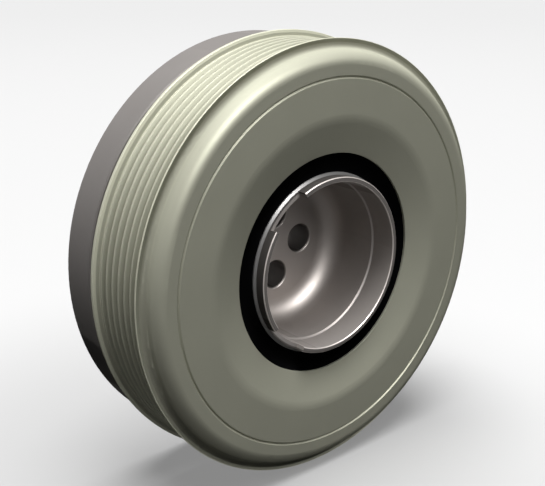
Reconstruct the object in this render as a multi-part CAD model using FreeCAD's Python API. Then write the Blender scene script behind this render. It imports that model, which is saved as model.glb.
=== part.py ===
import FreeCAD, Part
import math
import os

# Harmonic balancer with a rubber-mounted belt pulley, in millimetres.
# The spin axis is Y, the front face looks towards -Y and +Z is up.
# The origin is the centre of the hub's mounting face.
# Every piece is a turned section: radius from the axis against depth behind the front face.
# Angles go round the axis from +X towards +Z, as seen from the front.

# Belt track
rib_pitch = 3.56
rib_count = 6
groove_angle = 40.0
groove_depth = 2.9
crest_width = 0.6
crest_radius = 78.0
first_groove_gap = 2.91
rim_wall = 3.5

# Flanges beside the belt track
front_flange_height = 1.4
front_flange_depth = 5.3
front_flange_land = 0.7
rear_flange_height = 2.1
rear_flange_land = 1.15
flange_slope = 30.0
flange_edge_round = 0.15

# Pulley front, from the outside in
channel_inset = 1.7
channel_round = 1.6
shoulder_slope = 20.0
shoulder_round = 4.6
seam_inset = 7.46
seam_width = 1.0
seam_depth = 0.5
dish_blend = 13.5
dish_slope = 13.9
dish_width = 12.25

# Pulley wall
web_thickness = 5.0
web_fillet = 3.0
collar_wall = 4.0
collar_setback = 1.2
small_break = 0.4

# Hub cup
nose_radius = 32.4
mouth_wall = 1.9
mouth_depth = 10.1
mouth_step_length = 0.6
rim_chamfer = 0.3
cup_wall = 2.4
cup_depth = 32.3
cup_fillet = 8.0
floor_thickness = 12.0

# Hub rim notches
notch_angles = (130.4, 228.5)
notch_span = 30.5
notch_depth = 3.6

# Crankshaft bolt holes
bolt_count = 4
bolt_circle_radius = 12.1
bolt_hole_radius = 5.35
bolt_hole_chamfer = 0.5

# Hub disc and the rim that carries the inertia ring
boss_radius = 27.0
boss_height = 7.8
boss_chamfer = 0.8
disc_thickness = 4.0
disc_fillet = 2.5
carrier_wall = 4.2
carrier_edge_round = 1.5

# Inner sleeve and the rubber round it
sleeve_wall = 0.9
sleeve_front_depth = 3.8
sleeve_bevel_length = 0.6
sleeve_length = 16.4
decoupling_rubber_wall = 7.1
rubber_setback = 0.8
rubber_hollow = 1.5
rubber_hollow_round = 6.0

# Inertia ring and its rubber
ring_radius = 78.2
ring_wall = 14.7
ring_gap = 4.15
ring_length = 14.6
ring_chamfer = 0.5
ring_bore_chamfer = 1.0
damper_rubber_wall = 3.5
damper_rubber_hollow = 0.8
damper_rubber_setback = 0.7

# How far a cutting shape runs past the face that it opens
cut_overrun = 1.0

# Slopes as a rise for each millimetre
flange_grade = math.tan(math.radians(flange_slope))
shoulder_grade = math.tan(math.radians(shoulder_slope))
dish_grade = math.tan(math.radians(dish_slope))

# Radii that follow from the sizes above
groove_top_width = rib_pitch - crest_width
groove_floor_width = groove_top_width - 2 * groove_depth * math.tan(math.radians(groove_angle / 2))
groove_floor_radius = crest_radius - groove_depth
front_flange_radius = crest_radius + front_flange_height
rear_flange_radius = crest_radius + rear_flange_height
rim_bore_radius = groove_floor_radius - rim_wall
channel_radius = crest_radius - channel_inset
shoulder_radius = channel_radius - front_flange_depth * shoulder_grade
seam_radius = shoulder_radius - seam_inset
mouth_bore_radius = nose_radius - mouth_wall
cup_bore_radius = nose_radius - cup_wall
sleeve_radius = nose_radius + sleeve_wall
collar_bore_radius = sleeve_radius + decoupling_rubber_wall
collar_radius = collar_bore_radius + collar_wall
dish_outer_radius = collar_bore_radius + dish_width
ring_bore_radius = ring_radius - ring_wall
carrier_radius = ring_bore_radius - damper_rubber_wall

# Depths that follow from the sizes above
mounting_depth = cup_depth + floor_thickness
front_land_rear = front_flange_depth + front_flange_land
first_groove_depth = front_land_rear + first_groove_gap
track_rear_depth = first_groove_depth + (rib_count - 1) * rib_pitch + (groove_top_width / 2 + crest_width)
rear_flange_front = track_rear_depth + rear_flange_height * flange_grade
pulley_rear_depth = rear_flange_front + rear_flange_land
sleeve_rear_depth = sleeve_front_depth + sleeve_length
collar_front_depth = dish_width * dish_grade
collar_rear_depth = sleeve_rear_depth - collar_setback
ring_front_depth = pulley_rear_depth + ring_gap
ring_rear_depth = ring_front_depth + ring_length

AXIS_POINT = FreeCAD.Vector(0, 0, 0)
AXIS = FreeCAD.Vector(0, 1, 0)
TOWARDS_Z = FreeCAD.Vector(0, -1, 0)


def at(radius, depth):
    """A point of the section plane."""
    return FreeCAD.Vector(radius, depth - mounting_depth, 0)


def rounded_corner(before, corner, after, radius):
    """Start, middle and end of the arc that rounds one corner of an outline."""
    back = (before - corner).normalize()
    ahead = (after - corner).normalize()
    half = back.getAngle(ahead) / 2
    reach = radius / math.tan(half)
    inward = (back + ahead).normalize() * (radius / math.sin(half) - radius)
    return corner + back * reach, corner + inward, corner + ahead * reach


def section(corners):
    """A closed face from corners given as radius, depth and, where rounded, a fillet radius."""
    points = [at(corner[0], corner[1]) for corner in corners]
    bends = []
    for index, corner in enumerate(corners):
        point = points[index]
        if len(corner) == 3:
            after = points[(index + 1) % len(points)]
            bends.append(rounded_corner(points[index - 1], point, after, corner[2]))
        else:
            bends.append((point, None, point))
    edges = []
    for index, (start, middle, end) in enumerate(bends):
        if middle:
            edges.append(Part.Arc(start, middle, end).toShape())
        following = bends[(index + 1) % len(bends)][0]
        edges.append(Part.makeLine(end, following))
    return Part.Face(Part.Wire(edges))


def turned(corners, angle=360):
    """The solid that a section makes when it is turned about the spin axis."""
    return section(corners).revolve(AXIS_POINT, AXIS, angle)


def around(shape, angle):
    """A copy of a shape turned round the spin axis, from +X towards +Z."""
    copy = shape.copy()
    copy.rotate(AXIS_POINT, TOWARDS_Z, angle)
    return copy


def groove_corners():
    """The belt track from front to rear: one flat-bottomed V for each rib of the belt."""
    corners = []
    for index in range(rib_count):
        centre = first_groove_depth + index * rib_pitch
        corners.append((crest_radius, centre - groove_top_width / 2))
        corners.append((groove_floor_radius, centre - groove_floor_width / 2))
        corners.append((groove_floor_radius, centre + groove_floor_width / 2))
        corners.append((crest_radius, centre + groove_top_width / 2))
    return corners


def seam_corners():
    """The fine turned line on the front face."""
    half = seam_width / 2
    return [(seam_radius - half, 0), (seam_radius, seam_depth), (seam_radius + half, 0)]


def make_belt_pulley():
    """Front web, belt track, flanges and inner collar, turned as one piece."""
    front_slope_rear = front_land_rear + front_flange_height * flange_grade
    web_rear_bend = dish_outer_radius + web_thickness * math.tan(math.radians(dish_slope / 2))

    front = [(collar_bore_radius, collar_front_depth)]
    front.append((dish_outer_radius, 0, dish_blend))
    front += seam_corners()
    front.append((shoulder_radius, 0, shoulder_round))
    front.append((channel_radius, front_flange_depth, channel_round))

    outside = [(front_flange_radius, front_flange_depth, flange_edge_round)]
    outside.append((front_flange_radius, front_land_rear, flange_edge_round))
    outside.append((crest_radius, front_slope_rear))
    outside += groove_corners()
    outside.append((crest_radius, track_rear_depth))
    outside.append((rear_flange_radius, rear_flange_front, flange_edge_round))
    outside.append((rear_flange_radius, pulley_rear_depth, flange_edge_round))

    inside = [(rim_bore_radius, pulley_rear_depth, small_break)]
    inside.append((rim_bore_radius, web_thickness, web_fillet))
    inside.append((web_rear_bend, web_thickness, dish_blend))
    inside.append((collar_radius, web_thickness + (web_rear_bend - collar_radius) * dish_grade, web_fillet))
    inside.append((collar_radius, collar_rear_depth, small_break))
    inside.append((collar_bore_radius, collar_rear_depth, small_break))
    return turned(front + outside + inside)


def make_hub_blank():
    """The hub before its notches and holes: cup, disc and carrier rim in one turned piece."""
    disc_rear = mounting_depth - boss_height
    disc_front = disc_rear - disc_thickness
    carrier_rear = ring_rear_depth - damper_rubber_setback
    carrier_bore = carrier_radius - carrier_wall

    cup = [(0, cup_depth)]
    cup.append((cup_bore_radius, cup_depth, cup_fillet))
    cup.append((cup_bore_radius, mouth_depth + mouth_step_length))
    cup.append((mouth_bore_radius, mouth_depth))
    cup.append((mouth_bore_radius, rim_chamfer))
    cup.append((mouth_bore_radius + rim_chamfer, 0))
    cup.append((nose_radius - rim_chamfer, 0))
    cup.append((nose_radius, rim_chamfer))

    disc = [(nose_radius, disc_front, disc_fillet)]
    disc.append((carrier_radius, disc_front, carrier_edge_round))
    disc.append((carrier_radius, carrier_rear, small_break))
    disc.append((carrier_bore, carrier_rear, small_break))
    disc.append((carrier_bore, disc_rear, disc_fillet))
    disc.append((boss_radius, disc_rear, disc_fillet))
    disc.append((boss_radius, mounting_depth - boss_chamfer))
    disc.append((boss_radius - boss_chamfer, mounting_depth))
    disc.append((0, mounting_depth))
    return turned(cup + disc)


def make_notch_cutter():
    """A sector through the hub's rim, centred on the +X side."""
    inner = mouth_bore_radius - cut_overrun
    outer = nose_radius + cut_overrun
    corners = [(inner, -cut_overrun), (outer, -cut_overrun), (outer, notch_depth), (inner, notch_depth)]
    return around(turned(corners, notch_span), notch_span / 2)


def make_bolt_hole_cutter():
    """One through hole with a chamfered mouth, on the bolt circle at the +X side."""
    start = at(bolt_circle_radius, cup_depth - cut_overrun)
    hole = Part.makeCylinder(bolt_hole_radius, floor_thickness + 2 * cut_overrun, start, AXIS)
    wide = bolt_hole_radius + bolt_hole_chamfer
    cone = Part.makeCone(wide, bolt_hole_radius, bolt_hole_chamfer, at(bolt_circle_radius, cup_depth), AXIS)
    return hole.fuse(cone)


def make_hub():
    """The cup that bolts to the crankshaft, with rim notches and bolt holes."""
    notch = make_notch_cutter()
    hole = make_bolt_hole_cutter()
    cutters = [around(notch, angle) for angle in notch_angles]
    cutters += [around(hole, index * 360 / bolt_count) for index in range(bolt_count)]
    return make_hub_blank().cut(cutters)


def make_inner_sleeve():
    """The sleeve pressed on the hub's nose, bevelled at its front end."""
    corners = [(nose_radius, sleeve_front_depth)]
    corners.append((sleeve_radius, sleeve_front_depth + sleeve_bevel_length))
    corners.append((sleeve_radius, sleeve_rear_depth))
    corners.append((nose_radius, sleeve_rear_depth))
    return turned(corners)


def make_decoupling_rubber():
    """The rubber bonded between sleeve and collar, with a rounded hollow in each end."""
    middle_radius = (sleeve_radius + collar_bore_radius) / 2
    inner_front = sleeve_front_depth + sleeve_bevel_length + rubber_setback / 2
    outer_front = collar_front_depth + rubber_setback
    inner_rear = sleeve_rear_depth - rubber_setback
    outer_rear = collar_rear_depth - rubber_setback
    front_middle = (inner_front + outer_front) / 2 + rubber_hollow
    rear_middle = (inner_rear + outer_rear) / 2 - rubber_hollow
    corners = [(sleeve_radius, inner_front)]
    corners.append((middle_radius, front_middle, rubber_hollow_round))
    corners.append((collar_bore_radius, outer_front))
    corners.append((collar_bore_radius, outer_rear))
    corners.append((middle_radius, rear_middle, rubber_hollow_round))
    corners.append((sleeve_radius, inner_rear))
    return turned(corners)


def make_damper_rubber():
    """The thin rubber bonded between the carrier rim and the inertia ring."""
    middle_radius = carrier_radius + damper_rubber_wall / 2
    front = ring_front_depth + damper_rubber_setback + ring_bore_chamfer
    rear = ring_rear_depth - damper_rubber_setback - ring_bore_chamfer
    corners = [(carrier_radius, front)]
    corners.append((middle_radius, front + damper_rubber_hollow, damper_rubber_wall))
    corners.append((ring_bore_radius, front))
    corners.append((ring_bore_radius, rear))
    corners.append((middle_radius, rear - damper_rubber_hollow, damper_rubber_wall))
    corners.append((carrier_radius, rear))
    return turned(corners)


def make_inertia_ring():
    """The heavy ring behind the pulley."""
    corners = [(ring_bore_radius, ring_front_depth + ring_bore_chamfer)]
    corners.append((ring_bore_radius + ring_bore_chamfer, ring_front_depth))
    corners.append((ring_radius - ring_chamfer, ring_front_depth))
    corners.append((ring_radius, ring_front_depth + ring_chamfer))
    corners.append((ring_radius, ring_rear_depth - ring_chamfer))
    corners.append((ring_radius - ring_chamfer, ring_rear_depth))
    corners.append((ring_bore_radius + ring_bore_chamfer, ring_rear_depth))
    corners.append((ring_bore_radius, ring_rear_depth - ring_bore_chamfer))
    return turned(corners)


def main():
    os.makedirs("parts", exist_ok=True)
    make_hub().exportStep("parts/hub.step")
    make_inner_sleeve().exportStep("parts/inner_sleeve.step")
    make_decoupling_rubber().exportStep("parts/decoupling_rubber.step")
    make_belt_pulley().exportStep("parts/belt_pulley.step")
    make_damper_rubber().exportStep("parts/damper_rubber.step")
    make_inertia_ring().exportStep("parts/inertia_ring.step")


main()
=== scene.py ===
"""Finishes, stage and camera for a harmonic balancer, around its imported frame."""
import math

import bmesh
import bpy
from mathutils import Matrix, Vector


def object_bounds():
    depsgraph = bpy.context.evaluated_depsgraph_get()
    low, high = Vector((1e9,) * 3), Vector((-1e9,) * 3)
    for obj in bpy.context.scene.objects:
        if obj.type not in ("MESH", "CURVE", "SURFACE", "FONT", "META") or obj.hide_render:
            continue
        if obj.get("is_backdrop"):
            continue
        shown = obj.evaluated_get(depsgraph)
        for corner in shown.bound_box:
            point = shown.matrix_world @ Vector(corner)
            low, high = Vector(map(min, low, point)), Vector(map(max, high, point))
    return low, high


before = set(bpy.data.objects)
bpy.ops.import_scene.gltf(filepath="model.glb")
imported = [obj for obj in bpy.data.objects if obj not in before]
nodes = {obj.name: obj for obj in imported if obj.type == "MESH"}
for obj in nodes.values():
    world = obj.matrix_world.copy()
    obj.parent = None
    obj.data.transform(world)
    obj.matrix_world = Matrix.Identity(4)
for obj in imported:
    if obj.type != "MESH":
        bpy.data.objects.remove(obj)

bl_info = {
    "name": "Harmonic Balancer Finish",
    "version": (1, 0, 0),
    "blender": (4, 5, 0),
    "location": "View3D > Sidebar > Balancer",
    "description": "Gives a harmonic balancer its finishes, stage and camera",
    "category": "Object",
}

MM = 0.001
PHOTO_WIDTH = 545
FOCAL_PIXELS = 973.3

# The paint's relief, how much it rises with the radius past the crests, and the share of the
# turning marks that shows through it.
PAINT_RELIEF = 0.004 * MM
CREST_RADIUS = 78.0 * MM
FLANGE_STEEPNESS = 0.45
MARKS_THROUGH_PAINT = 0.6

# Share of the hub's darkening that its front face has.
HUB_FRONT_SHARE = 0.8

# Distances from the floor's middle, in metres, between which its level changes: near, a painted
# shadow round the balancer; far, a painted falloff of light.
NEAR_SHADOW_CHANGE = (0.06, 0.23)
FAR_FALLOFF_CHANGE = (0.5, 2.0)


def turned_zone(radii, depths, radius_fade=0.1, depth_fade=0.1):
    """A turned piece's zone in millimetres: radii, depths, and how far it fades outside them."""
    return {
        "Inner Radius": radii[0] * MM,
        "Outer Radius": radii[1] * MM,
        "Radius Fade": radius_fade * MM,
        "Front Depth": depths[0] * MM,
        "Rear Depth": depths[1] * MM,
        "Depth Fade": depth_fade * MM,
    }


# Where paint or steel looks different: painted light in the channel, painted highlights on the
# crests, the flanges' rims and the hub's front edges, painted shade in the hub's holes and on its
# outside, and a darker hub front. Depth runs from about -44, the front, to 0, the face that bolts
# to the crankshaft.
CHANNEL_PAINTED_LIGHT = turned_zone((75.0, 78.0), (-39.9, -38.9), radius_fade=0.4, depth_fade=0.5)
CREST_HIGHLIGHT = turned_zone((77.75, 78.2), (-38.0, -15.0), radius_fade=0.15, depth_fade=0.5)
RIM_HIGHLIGHT = turned_zone((79.2, 82.0), (-60.0, 10.0))
HUB_HOLE_SHADE = turned_zone((0.0, 18.5), (-11.7, -0.4), depth_fade=0.2)
HUB_FRONT = turned_zone((0.0, 40.0), (-46.0, -44.25))
HUB_OUTSIDE_SHADE = turned_zone((31.9, 34.0), (-46.0, -40.0), radius_fade=0.3)
HUB_INNER_EDGE_HIGHLIGHT = turned_zone((30.4, 30.8), (-44.4, -43.98), radius_fade=0.05, depth_fade=0.05)
HUB_OUTER_EDGE_HIGHLIGHT = turned_zone((32.1, 32.39), (-44.4, -43.98), radius_fade=0.05, depth_fade=0.05)


def color_property(name, description, default):
    """A colour that a user would change."""
    return bpy.props.FloatVectorProperty(
        name=name, description=description, subtype="COLOR", size=3, min=0, max=1, default=default
    )


def share_property(name, description, default):
    """A share from nothing to all."""
    return bpy.props.FloatProperty(
        name=name, description=description, subtype="FACTOR", min=0, max=1, default=default
    )


def length_property(name, description, default):
    """A length in metres."""
    return bpy.props.FloatProperty(
        name=name, description=description, unit="LENGTH", min=0, default=default
    )


def place_property(name, description, default):
    """A place in metres, in space or on the floor."""
    return bpy.props.FloatVectorProperty(
        name=name,
        description=description,
        subtype="TRANSLATION",
        size=len(default),
        default=default,
    )


def angle_property(name, description, default):
    """An angle, given here in degrees."""
    return bpy.props.FloatProperty(
        name=name, description=description, subtype="ANGLE", default=math.radians(default)
    )


def direction_property(name, azimuth, elevation):
    """Where a lamp or the camera stands as seen from the balancer, given here in degrees."""
    return bpy.props.FloatVectorProperty(
        name=name,
        description="Turn from the balancer's front to its left in the picture, and height",
        unit="ROTATION",
        size=2,
        default=(math.radians(azimuth), math.radians(elevation)),
    )


def power_property(name, description, default):
    """A lamp's power in watts."""
    return bpy.props.FloatProperty(
        name=name, description=description, unit="POWER", min=0, default=default
    )


def strength_property(name, description, default):
    """How strongly a distant light shines, in watts for each square metre."""
    return bpy.props.FloatProperty(name=name, description=description, min=0, default=default)


class BalancerFinish(bpy.types.PropertyGroup):
    """Colours, gloss and wear of the balancer's surfaces."""

    paint_color: color_property(
        "Pulley paint", "Satin grey-green paint of the belt pulley", (0.43, 0.43, 0.346)
    )
    paint_roughness: share_property("Paint roughness", "How matt the pulley's paint is", 0.5)
    paint_gloss: share_property("Paint gloss", "How metallic the pulley's paint is", 0.1)
    paint_softness: length_property(
        "Paint softness", "Radius that painted edges seem to have", 0.3 * MM
    )
    # Painted light: the paint in the channel behind the shoulder is made lighter.
    channel_painted_light: share_property(
        "Channel lightness", "How much lighter paint is in the channel behind the shoulder", 0.12
    )
    # Painted highlight: the paint on the belt grooves' crests is made lighter.
    crest_painted_highlight: share_property(
        "Crest wear", "How much lighter worn paint is on the belt grooves' crests", 0.2
    )
    # Painted highlight: the paint on the flanges' rims is made lighter.
    rim_painted_highlight: share_property(
        "Rim wear", "How much lighter worn paint is on the flanges' rims", 0.35
    )
    hub_color: color_property("Hub steel", "Dark turned steel of the hub", (0.325, 0.3, 0.283))
    hub_roughness: share_property("Hub roughness", "How matt the hub's steel is", 0.5)
    hub_gloss: share_property("Hub gloss", "How metallic the hub's steel is", 0.26)
    # Painted shade in the hub's holes and on its outside, and a darker front face.
    hub_shade_darkening: share_property(
        "Hub darkening", "How much darker the hub is on its outside and in its holes", 0.65
    )
    # Painted highlight on the front edges of the hub's rim.
    hub_edge_painted_highlight: share_property(
        "Hub edge wear", "How much lighter the worn front edges of the hub's rim are", 0.6
    )
    sleeve_color: color_property(
        "Sleeve steel", "Bright steel of the inner sleeve", (0.25, 0.246, 0.242)
    )
    sleeve_roughness: share_property("Sleeve roughness", "How matt the sleeve is", 0.4)
    sleeve_gloss: share_property("Sleeve gloss", "How metallic the sleeve is", 0.12)
    ring_color: color_property(
        "Ring iron", "Blackened cast iron of the inertia ring", (0.225, 0.211, 0.202)
    )
    ring_roughness: share_property("Ring roughness", "How matt the inertia ring is", 0.5)
    ring_gloss: share_property("Ring gloss", "How metallic the inertia ring is", 0.1)
    rubber_color: color_property("Rubber", "Black moulded rubber", (0.005, 0.005, 0.0055))
    rubber_roughness: share_property("Rubber roughness", "How matt the rubber is", 0.5)
    edge_softness: length_property(
        "Edge softness", "Radius that turned metal edges seem to have", 0.1 * MM
    )


class BalancerStage(bpy.types.PropertyGroup):
    """Camera, lamps, floor and background."""

    camera_direction: direction_property("Camera direction", 40.1, 18.6)
    camera_distance: length_property("Camera distance", "From the camera to its aim", 0.3727)
    camera_aim: place_property(
        "Camera aim", "Point that the middle of the picture shows", (0.00156, -0.00864, -0.00071)
    )
    key_direction: direction_property("Key direction", 90, 88)
    key_strength: strength_property("Key strength", "Soft light from nearly overhead", 5.0)
    key_spread: angle_property("Key spread", "Width of the soft light in the sky", 44)
    front_direction: direction_property("Front direction", 15, 60)
    front_power: power_property(
        "Front power", "Near lamp high in front, that fades down the face", 0.76
    )
    front_distance: length_property(
        "Front distance", "From the front lamp to the balancer", 0.55
    )
    front_size: length_property("Front size", "Width of the round front lamp", 0.45)
    shine_direction: direction_property("Shine direction", 0, 40)
    shine_power: power_property("Shine power", "Lamp in front that only gives highlights", 190.0)
    shine_distance: length_property(
        "Shine distance", "From the highlight lamp to the balancer", 2.0
    )
    shine_size: length_property("Shine size", "Width of the round highlight lamp", 1.0)
    floor_color: color_property("Floor", "Pale studio floor", (0.43, 0.43, 0.43))
    # Painted shadow on the floor round the balancer.
    floor_painted_shadow: share_property(
        "Floor dimming", "How much darker the floor is round the balancer", 0.29
    )
    # Painted falloff of light far behind.
    floor_painted_falloff: share_property("Floor fading", "How much darker the floor is far behind", 0.1)
    floor_glow: share_property(
        "Floor glow", "Light of the floor's own, that keeps its shadow from black", 0.24
    )
    floor_bounce: share_property(
        "Floor bounce", "Share of light that the floor gives back to the balancer", 0.02
    )
    floor_size: length_property("Floor size", "Side of the square floor", 12.0)
    # Middle of the floor's painted shadow.
    floor_shadow_middle: place_property(
        "Floor middle",
        "Where the floor is darkest, to the balancer's left and before it",
        (-0.05, -0.03),
    )
    ambient: share_property("Ambient light", "Even light from all round", 0.012)
    backdrop: share_property("Backdrop", "How bright the white background is", 0.88)


def place(tree, kind, inputs=None, **settings):
    """A shader node with its settings, and with sockets or plain values for its inputs."""
    node = tree.nodes.new(kind)
    for key, value in settings.items():
        setattr(node, key, value)
    for key, value in (inputs or {}).items():
        if isinstance(value, bpy.types.NodeSocket):
            tree.links.new(value, node.inputs[key])
        else:
            node.inputs[key].default_value = value
    return node


def calculate(tree, operation, first, *others):
    """What an operation makes of sockets or plain numbers, taken from left to right."""
    result = first
    for other in others:
        node = place(tree, "ShaderNodeMath", {0: result, 1: other}, operation=operation)
        result = node.outputs[0]
    return result


def rescale(tree, value, low, high):
    """A value from 0 to 1 stretched to run from low to high."""
    return place(
        tree, "ShaderNodeMapRange", {"Value": value, "To Min": low, "To Max": high}
    ).outputs["Result"]


def scale_color(tree, color, level):
    """A colour times a level."""
    return place(
        tree, "ShaderNodeVectorMath", {0: color, "Scale": level}, operation="SCALE"
    ).outputs["Vector"]


def radius_and_depth(tree, own):
    """Distance from the crank's axis, and position along it."""
    across = place(tree, "ShaderNodeVectorMath", {0: own, 1: (1, 0, 1)}, operation="MULTIPLY")
    radius = place(
        tree, "ShaderNodeVectorMath", {0: across.outputs["Vector"]}, operation="LENGTH"
    )
    split = place(tree, "ShaderNodeSeparateXYZ", {"Vector": own})
    return radius.outputs["Value"], split.outputs["Y"]


def fade_outside(tree, value, low, high, fade):
    """1 where a value is between two limits, fading to 0 outside them. All are sockets."""
    start = calculate(tree, "SUBTRACT", low, fade)
    end = calculate(tree, "ADD", high, fade)
    rise = place(tree, "ShaderNodeMapRange", {"Value": value, "From Min": start, "From Max": low})
    fall = place(tree, "ShaderNodeMapRange", {"Value": value, "From Min": end, "From Max": high})
    return calculate(tree, "MULTIPLY", rise.outputs["Result"], fall.outputs["Result"])


def new_group(name, inputs, outputs):
    """An empty node group with named inputs and outputs, and the sockets at its two ends."""
    group = bpy.data.node_groups.new(name, "ShaderNodeTree")
    for label, kind, default in inputs:
        socket = group.interface.new_socket(label, in_out="INPUT", socket_type=kind)
        if default is not None:
            socket.default_value = default
    for label, kind in outputs:
        group.interface.new_socket(label, in_out="OUTPUT", socket_type=kind)
    given = group.nodes.new("NodeGroupInput").outputs
    result = group.nodes.new("NodeGroupOutput").inputs
    return group, given, result


def turned_zone_group():
    """A mask that is 1 inside a zone of a turned piece, and fades to 0 outside it."""
    group, given, result = new_group(
        "turned_zone",
        [
            ("Vector", "NodeSocketVector", None),
            ("Inner Radius", "NodeSocketFloat", 0.0),
            ("Outer Radius", "NodeSocketFloat", 10 * MM),
            ("Radius Fade", "NodeSocketFloat", 0.1 * MM),
            ("Front Depth", "NodeSocketFloat", -10 * MM),
            ("Rear Depth", "NodeSocketFloat", 0.0),
            ("Depth Fade", "NodeSocketFloat", 0.1 * MM),
        ],
        [("Mask", "NodeSocketFloat")],
    )
    radius, depth = radius_and_depth(group, given["Vector"])
    across = fade_outside(
        group, radius, given["Inner Radius"], given["Outer Radius"], given["Radius Fade"]
    )
    along = fade_outside(
        group, depth, given["Front Depth"], given["Rear Depth"], given["Depth Fade"]
    )
    group.links.new(calculate(group, "MULTIPLY", across, along), result["Mask"])
    return group


def turning_marks_group():
    """Fine rings that a lathe tool leaves, by the radius on faces and by the depth on walls."""
    group, given, result = new_group(
        "turning_marks",
        [("Vector", "NodeSocketVector", None), ("Pitch", "NodeSocketFloat", 0.4 * MM)],
        [("Height", "NodeSocketFloat")],
    )
    radius, depth = radius_and_depth(group, given["Vector"])
    path = place(group, "ShaderNodeCombineXYZ", {
        "X": calculate(group, "DIVIDE", radius, given["Pitch"]),
        "Y": calculate(group, "DIVIDE", depth, given["Pitch"]),
    })
    lines = place(
        group, "ShaderNodeTexNoise",
        {"Vector": path.outputs["Vector"], "Scale": 1.0, "Detail": 2.0, "Roughness": 0.6},
        noise_dimensions="2D",
    )
    group.links.new(lines.outputs["Fac"], result["Height"])
    return group


def grain_group():
    """Fine even noise, such as orange peel, the grain of cast iron or a mould's skin."""
    group, given, result = new_group(
        "grain",
        [
            ("Vector", "NodeSocketVector", None),
            ("Size", "NodeSocketFloat", 1 * MM),
            ("Detail", "NodeSocketFloat", 3.0),
        ],
        [("Height", "NodeSocketFloat")],
    )
    noise = place(group, "ShaderNodeTexNoise", {
        "Vector": given["Vector"],
        "Scale": calculate(group, "DIVIDE", 1.0, given["Size"]),
        "Detail": given["Detail"],
    })
    group.links.new(noise.outputs["Fac"], result["Height"])
    return group


def mottle_group():
    """Cloudy change of a colour, and the same clouds as a value."""
    group, given, result = new_group(
        "mottle",
        [
            ("Vector", "NodeSocketVector", None),
            ("Color", "NodeSocketColor", None),
            ("Cloud Size", "NodeSocketFloat", 10 * MM),
            ("Amount", "NodeSocketFloat", 0.1),
        ],
        [("Color", "NodeSocketColor"), ("Cloud", "NodeSocketFloat")],
    )
    clouds = place(group, "ShaderNodeTexNoise", {
        "Vector": given["Vector"],
        "Scale": calculate(group, "DIVIDE", 1.0, given["Cloud Size"]),
        "Detail": 5.0,
        "Roughness": 0.6,
    })
    swing = rescale(group, clouds.outputs["Fac"], -1, 1)
    swing = calculate(group, "MULTIPLY", swing, given["Amount"])
    level = calculate(group, "ADD", swing, 1.0)
    group.links.new(scale_color(group, given["Color"], level), result["Color"])
    group.links.new(clouds.outputs["Fac"], result["Cloud"])
    return group


def soft_edge_group():
    """The surface's normal as if its sharp edges were rounded."""
    group, given, result = new_group(
        "soft_edge",
        [("Radius", "NodeSocketFloat", 0.2 * MM)],
        [("Normal", "NodeSocketVector")],
    )
    rounded = place(group, "ShaderNodeBevel", {"Radius": given["Radius"]}, samples=6)
    group.links.new(rounded.outputs["Normal"], result["Normal"])
    return group


GROUPS = {
    "turned_zone": turned_zone_group,
    "turning_marks": turning_marks_group,
    "grain": grain_group,
    "mottle": mottle_group,
    "soft_edge": soft_edge_group,
}


def use_group(tree, name, inputs):
    """The outputs of a shared effect, which is built the first time that a finish asks for it."""
    group = bpy.data.node_groups.get(name) or GROUPS[name]()
    return place(tree, "ShaderNodeGroup", inputs, node_tree=group).outputs


def zone_mask(tree, own, zone):
    """The mask of one zone of a turned piece."""
    return use_group(tree, "turned_zone", {"Vector": own, **zone})["Mask"]


def lathe_marks(tree, own, pitch):
    """The turning marks of a surface at one pitch."""
    return use_group(tree, "turning_marks", {"Vector": own, "Pitch": pitch})["Height"]


def grain(tree, own, size, detail):
    """Fine noise over a surface."""
    return use_group(tree, "grain", {"Vector": own, "Size": size, "Detail": detail})["Height"]


def new_finish(name, gloss):
    """A material with its shader and the object's own coordinates.

    Its metallic share is all that shines, because a plain gloss grows too strong at grazing angles.
    """
    material = bpy.data.materials.new(name)
    material.use_nodes = True
    tree = material.node_tree
    shader = tree.nodes["Principled BSDF"]
    shader.inputs["Metallic"].default_value = gloss
    shader.inputs["Specular IOR Level"].default_value = 0.0
    shader.inputs["Specular Tint"].default_value = (0, 0, 0, 1)
    own = place(tree, "ShaderNodeTexCoord").outputs["Object"]
    return material, tree, shader, own


def color_surface(tree, shader, own, color, cloud_size, amount, level=None):
    """Base colour with soft clouds in it, times a level where one is given. Returns the clouds."""
    clouds = use_group(tree, "mottle", {
        "Vector": own, "Color": (*color, 1), "Cloud Size": cloud_size, "Amount": amount,
    })
    result = clouds["Color"]
    if level is not None:
        result = scale_color(tree, result, level)
    tree.links.new(result, shader.inputs["Base Color"])
    return clouds["Cloud"]


def vary_roughness(tree, shader, pattern, roughness, spread):
    """Roughness that swings about its middle with a pattern."""
    varied = rescale(tree, pattern, roughness - spread, roughness + spread)
    tree.links.new(varied, shader.inputs["Roughness"])


def raise_surface(tree, shader, height, depth, edge_softness):
    """Relief of a given depth over softly rounded edges."""
    soft = use_group(tree, "soft_edge", {"Radius": edge_softness})
    bump = place(tree, "ShaderNodeBump", {
        "Height": height, "Normal": soft["Normal"], "Strength": 1.0, "Distance": depth,
    })
    tree.links.new(bump.outputs["Normal"], shader.inputs["Normal"])


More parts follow.
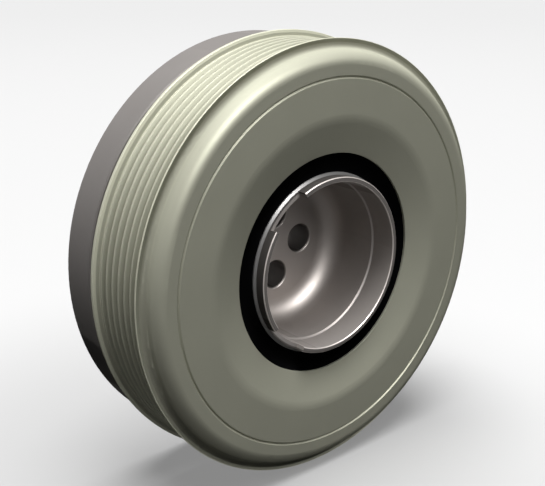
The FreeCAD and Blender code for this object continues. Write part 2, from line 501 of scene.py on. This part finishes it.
def paint_finish(finish):
    """Satin paint over a turned surface: a fine orange peel, and rings that just show through.
    Painted light makes the channel lighter, and painted highlights make the crests and the flanges'
    rims lighter.
    """
    material, tree, shader, own = new_finish("pulley_paint", finish.paint_gloss)
    channel = zone_mask(tree, own, CHANNEL_PAINTED_LIGHT)
    crests = zone_mask(tree, own, CREST_HIGHLIGHT)
    rims = zone_mask(tree, own, RIM_HIGHLIGHT)
    # Painted light makes the channel lighter, and painted highlights make the crests and the
    # flanges' rims lighter.
    level = calculate(
        tree, "ADD",
        rescale(tree, channel, 1.0, 1.0 + finish.channel_painted_light),
        rescale(tree, crests, 0.0, finish.crest_painted_highlight),
        rescale(tree, rims, 0.0, finish.rim_painted_highlight),
    )
    cloud = color_surface(
        tree, shader, own, finish.paint_color, cloud_size=14 * MM, amount=0.03, level=level
    )
    # The channel has no gloss, and the rims have twice as much.
    gloss = calculate(
        tree, "ADD",
        rescale(tree, channel, finish.paint_gloss, 0.0),
        rescale(tree, rims, 0.0, finish.paint_gloss),
    )
    tree.links.new(gloss, shader.inputs["Metallic"])
    vary_roughness(tree, shader, cloud, finish.paint_roughness, spread=0.04)
    peel = grain(tree, own, size=0.9 * MM, detail=2.0)
    rings = lathe_marks(tree, own, pitch=0.7 * MM)
    rings = calculate(tree, "MULTIPLY", rings, MARKS_THROUGH_PAINT)
    # Past the crests the relief rises with the radius, so the flanges' walls look steeper.
    radius = radius_and_depth(tree, own)[0]
    outer = calculate(tree, "MAXIMUM", calculate(tree, "SUBTRACT", radius, CREST_RADIUS), 0.0)
    lift = calculate(tree, "MULTIPLY", outer, FLANGE_STEEPNESS / PAINT_RELIEF)
    relief = calculate(tree, "ADD", peel, rings, lift)
    raise_surface(tree, shader, relief, depth=PAINT_RELIEF, edge_softness=finish.paint_softness)
    return material


def hub_finish(finish):
    """Turned steel, dark and brownish, with marks that run round the cup, painted highlights on its
    front edges, and painted shade in its holes and on its outside.
    """
    material, tree, shader, own = new_finish("hub_turned_steel", finish.hub_gloss)
    # Painted shade in the holes and on the outside, and a darker front face.
    dark = calculate(
        tree, "MAXIMUM",
        zone_mask(tree, own, HUB_HOLE_SHADE),
        zone_mask(tree, own, HUB_OUTSIDE_SHADE),
        rescale(tree, zone_mask(tree, own, HUB_FRONT), 0.0, HUB_FRONT_SHARE),
    )
    # Painted highlights on the front edges of the rim.
    edges = calculate(
        tree, "MAXIMUM",
        zone_mask(tree, own, HUB_INNER_EDGE_HIGHLIGHT),
        zone_mask(tree, own, HUB_OUTER_EDGE_HIGHLIGHT),
    )
    level = calculate(
        tree, "MAXIMUM",
        rescale(tree, dark, 1.0, 1.0 - finish.hub_shade_darkening),
        rescale(tree, edges, 0.0, 1.0 + finish.hub_edge_painted_highlight),
    )
    color_surface(tree, shader, own, finish.hub_color, cloud_size=9 * MM, amount=0.06, level=level)
    rings = lathe_marks(tree, own, pitch=0.5 * MM)
    vary_roughness(tree, shader, rings, finish.hub_roughness, spread=0.07)
    raise_surface(tree, shader, rings, depth=0.004 * MM, edge_softness=finish.edge_softness)
    return material


def sleeve_finish(finish):
    """Bright drawn steel."""
    material, tree, shader, own = new_finish("sleeve_bright_steel", finish.sleeve_gloss)
    color_surface(tree, shader, own, finish.sleeve_color, cloud_size=6 * MM, amount=0.04)
    rings = lathe_marks(tree, own, pitch=0.3 * MM)
    vary_roughness(tree, shader, rings, finish.sleeve_roughness, spread=0.05)
    raise_surface(tree, shader, rings, depth=0.002 * MM, edge_softness=finish.edge_softness)
    return material


def ring_finish(finish):
    """Blackened cast iron, turned all over, with the iron's fine grain."""
    material, tree, shader, own = new_finish("ring_blackened_iron", finish.ring_gloss)
    cloud = color_surface(tree, shader, own, finish.ring_color, cloud_size=11 * MM, amount=0.05)
    vary_roughness(tree, shader, cloud, finish.ring_roughness, spread=0.06)
    iron = grain(tree, own, size=0.5 * MM, detail=3.0)
    relief = calculate(tree, "ADD", iron, lathe_marks(tree, own, pitch=0.6 * MM))
    raise_surface(tree, shader, relief, depth=0.005 * MM, edge_softness=finish.edge_softness)
    return material


def rubber_finish(finish):
    """Black rubber with the faint skin that a mould leaves."""
    material, tree, shader, own = new_finish("moulded_rubber", gloss=0.0)
    cloud = color_surface(tree, shader, own, finish.rubber_color, cloud_size=5 * MM, amount=0.2)
    vary_roughness(tree, shader, cloud, finish.rubber_roughness, spread=0.08)
    skin = grain(tree, own, size=0.6 * MM, detail=3.0)
    raise_surface(tree, shader, skin, depth=0.012 * MM, edge_softness=finish.edge_softness)
    return material


def dress(name, material):
    """Gives a frame node its finish."""
    piece = nodes[name]
    for holder in piece.material_slots:
        holder.material = material


class BALANCER_OT_finish_hub(bpy.types.Operator):
    """Give the hub its turned steel"""

    bl_idname = "balancer.finish_hub"
    bl_label = "Finish hub"

    def execute(self, context):
        dress("hub", hub_finish(context.scene.balancer_finish))
        return {"FINISHED"}


class BALANCER_OT_finish_sleeve(bpy.types.Operator):
    """Give the inner sleeve its bright steel"""

    bl_idname = "balancer.finish_sleeve"
    bl_label = "Finish inner sleeve"

    def execute(self, context):
        dress("inner_sleeve", sleeve_finish(context.scene.balancer_finish))
        return {"FINISHED"}


class BALANCER_OT_finish_rubbers(bpy.types.Operator):
    """Give both rubber rings their black rubber"""

    bl_idname = "balancer.finish_rubbers"
    bl_label = "Finish rubber rings"

    def execute(self, context):
        rubber = rubber_finish(context.scene.balancer_finish)
        for name in ("decoupling_rubber", "damper_rubber"):
            dress(name, rubber)
        return {"FINISHED"}


class BALANCER_OT_finish_pulley(bpy.types.Operator):
    """Give the belt pulley its satin paint"""

    bl_idname = "balancer.finish_pulley"
    bl_label = "Finish belt pulley"

    def execute(self, context):
        dress("belt_pulley", paint_finish(context.scene.balancer_finish))
        return {"FINISHED"}


class BALANCER_OT_finish_ring(bpy.types.Operator):
    """Give the inertia ring its blackened iron"""

    bl_idname = "balancer.finish_ring"
    bl_label = "Finish inertia ring"

    def execute(self, context):
        dress("inertia_ring", ring_finish(context.scene.balancer_finish))
        return {"FINISHED"}


def unit_vector(direction):
    """Unit vector of a turn from the front to the left, and a height above the floor."""
    azimuth, elevation = direction
    flat = math.cos(elevation)
    return Vector((-math.sin(azimuth) * flat, -math.cos(azimuth) * flat, math.sin(elevation)))


def point_along(obj, heading):
    """Turns a lamp or camera so that it looks along a vector, upright."""
    obj.rotation_euler = heading.to_track_quat("-Z", "Y").to_euler()


def add_light(scene, name, kind, direction, energy):
    """A light in one direction from the balancer, turned towards it."""
    data = bpy.data.lights.new(name, kind)
    data.energy = energy
    light = bpy.data.objects.new(name, data)
    scene.collection.objects.link(light)
    light.location = unit_vector(direction)
    point_along(light, -light.location)
    return light


def add_round_lamp(scene, name, direction, power, distance, size):
    """A round lamp that hangs at a distance from the balancer."""
    lamp = add_light(scene, name, "AREA", direction, power)
    lamp.location *= distance
    lamp.data.shape = "DISK"
    lamp.data.size = size
    return lamp


def add_lamps(scene, stage):
    """The overhead key light, the near front lamp and the lamp for highlights."""
    key = add_light(scene, "key_light", "SUN", stage.key_direction, stage.key_strength)
    key.data.angle = stage.key_spread
    add_round_lamp(
        scene, "front_light",
        stage.front_direction, stage.front_power, stage.front_distance, stage.front_size,
    )
    shine = add_round_lamp(
        scene, "shine",
        stage.shine_direction, stage.shine_power, stage.shine_distance, stage.shine_size,
    )
    shine.visible_diffuse = False


def add_camera(scene, stage):
    """The camera at the photograph's viewing angle."""
    data = bpy.data.cameras.new("camera")
    data.lens = FOCAL_PIXELS / PHOTO_WIDTH * data.sensor_width
    data.clip_start = 0.01
    camera = bpy.data.objects.new("camera", data)
    scene.collection.objects.link(camera)
    away = unit_vector(stage.camera_direction)
    camera.location = Vector(stage.camera_aim) + away * stage.camera_distance
    point_along(camera, -away)
    scene.camera = camera


def soft_ramp(tree, value, limits, low, high):
    """A smooth change from low to high between two limits."""
    start, end = limits
    inputs = {"Value": value, "From Min": start, "From Max": end, "To Min": low, "To Max": high}
    ramp = place(tree, "ShaderNodeMapRange", inputs, interpolation_type="SMOOTHSTEP")
    return ramp.outputs["Result"]


def painted_floor_shading(tree, stage):
    """A painted shadow round the floor's middle and a painted falloff of light far from it: a level
    that rises along the floor away from its middle, then slowly fades.
    """
    own = place(tree, "ShaderNodeTexCoord").outputs["Object"]
    distance = place(tree, "ShaderNodeVectorMath", {0: own}, operation="LENGTH").outputs["Value"]
    near = soft_ramp(tree, distance, NEAR_SHADOW_CHANGE, 1 - stage.floor_painted_shadow, 1.0)
    far = soft_ramp(tree, distance, FAR_FALLOFF_CHANGE, 1.0, 1 - stage.floor_painted_falloff)
    return calculate(tree, "MULTIPLY", near, far)


def grey(level):
    """A grey colour of one level."""
    return (level, level, level, 1)


def unless_diffuse(tree, color, other):
    """A colour for every ray but diffuse ones, which get the other colour."""
    ray = place(tree, "ShaderNodeLightPath")
    return place(
        tree, "ShaderNodeMix", {"Factor": ray.outputs["Is Diffuse Ray"], "A": color, "B": other},
        data_type="RGBA",
    ).outputs["Result"]


def floor_finish(stage):
    """Pale floor that keeps the balancer's shadow, with a painted shadow round it and a painted
    falloff far behind, and gives little light back to it.
    """
    material = bpy.data.materials.new("studio_floor")
    material.use_nodes = True
    tree = material.node_tree
    shader = tree.nodes["Principled BSDF"]
    shader.inputs["Specular IOR Level"].default_value = 0.0
    shader.inputs["Roughness"].default_value = 1.0
    shader.inputs["Emission Strength"].default_value = 1.0
    # Painted shadow round the balancer and painted falloff of light far behind.
    tint = scale_color(tree, stage.floor_color, painted_floor_shading(tree, stage))
    base = unless_diffuse(tree, tint, grey(stage.floor_bounce))
    glow = unless_diffuse(tree, grey(stage.floor_glow), grey(0))
    tree.links.new(base, shader.inputs["Base Color"])
    tree.links.new(glow, shader.inputs["Emission Color"])
    return material


def add_floor(scene, stage):
    """The floor, at the height of the balancer's lowest point."""
    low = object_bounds()[0][2]
    shape = bmesh.new()
    bmesh.ops.create_grid(shape, x_segments=1, y_segments=1, size=stage.floor_size / 2)
    mesh = bpy.data.meshes.new("floor")
    shape.to_mesh(mesh)
    shape.free()
    floor = bpy.data.objects.new("floor", mesh)
    scene.collection.objects.link(floor)
    floor.location = (*stage.floor_shadow_middle, low)
    mesh.materials.append(floor_finish(stage))
    floor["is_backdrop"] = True


def add_world(scene, stage):
    """White behind everything, with a little even light."""
    world = bpy.data.worlds.new("studio")
    scene.world = world
    world.use_nodes = True
    tree = world.node_tree
    background = tree.nodes["Background"]
    background.inputs["Color"].default_value = grey(1)
    ray = place(tree, "ShaderNodeLightPath").outputs
    seen = calculate(
        tree, "MAXIMUM", ray["Is Camera Ray"], ray["Is Glossy Ray"], ray["Is Transmission Ray"]
    )
    strength = rescale(tree, seen, stage.ambient, stage.backdrop)
    tree.links.new(strength, background.inputs["Strength"])


class BALANCER_OT_build_stage(bpy.types.Operator):
    """Add the world, the floor, the lamps and the camera"""

    bl_idname = "balancer.build_stage"
    bl_label = "Build stage"

    def execute(self, context):
        scene = context.scene
        stage = scene.balancer_stage
        scene.view_settings.view_transform = "Standard"
        add_world(scene, stage)
        add_floor(scene, stage)
        add_lamps(scene, stage)
        add_camera(scene, stage)
        return {"FINISHED"}


class BALANCER_PT_panel(bpy.types.Panel):
    """The balancer's finishes and stage"""

    bl_label = "Harmonic balancer"
    bl_idname = "BALANCER_PT_panel"
    bl_space_type = "VIEW_3D"
    bl_region_type = "UI"
    bl_category = "Balancer"

    def draw(self, context):
        for operator in OPERATORS:
            self.layout.operator(operator.bl_idname)
        for group in (context.scene.balancer_finish, context.scene.balancer_stage):
            box = self.layout.box()
            for name in group.__annotations__:
                box.prop(group, name)


OPERATORS = (
    BALANCER_OT_finish_hub,
    BALANCER_OT_finish_sleeve,
    BALANCER_OT_finish_rubbers,
    BALANCER_OT_finish_pulley,
    BALANCER_OT_finish_ring,
    BALANCER_OT_build_stage,
)
CLASSES = (BalancerFinish, BalancerStage, *OPERATORS, BALANCER_PT_panel)


def register():
    """Adds the classes, and their properties to the scene."""
    for kind in CLASSES:
        bpy.utils.register_class(kind)
    bpy.types.Scene.balancer_finish = bpy.props.PointerProperty(type=BalancerFinish)
    bpy.types.Scene.balancer_stage = bpy.props.PointerProperty(type=BalancerStage)


def unregister():
    """Takes the properties and the classes away again."""
    del bpy.types.Scene.balancer_stage
    del bpy.types.Scene.balancer_finish
    for kind in reversed(CLASSES):
        bpy.utils.unregister_class(kind)


def main():
    """Runs every operator in order."""
    register()
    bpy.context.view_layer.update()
    bpy.ops.balancer.finish_hub()
    bpy.ops.balancer.finish_sleeve()
    bpy.ops.balancer.finish_rubbers()
    bpy.ops.balancer.finish_pulley()
    bpy.ops.balancer.finish_ring()
    bpy.ops.balancer.build_stage()


if __name__ == "__main__":
    main()
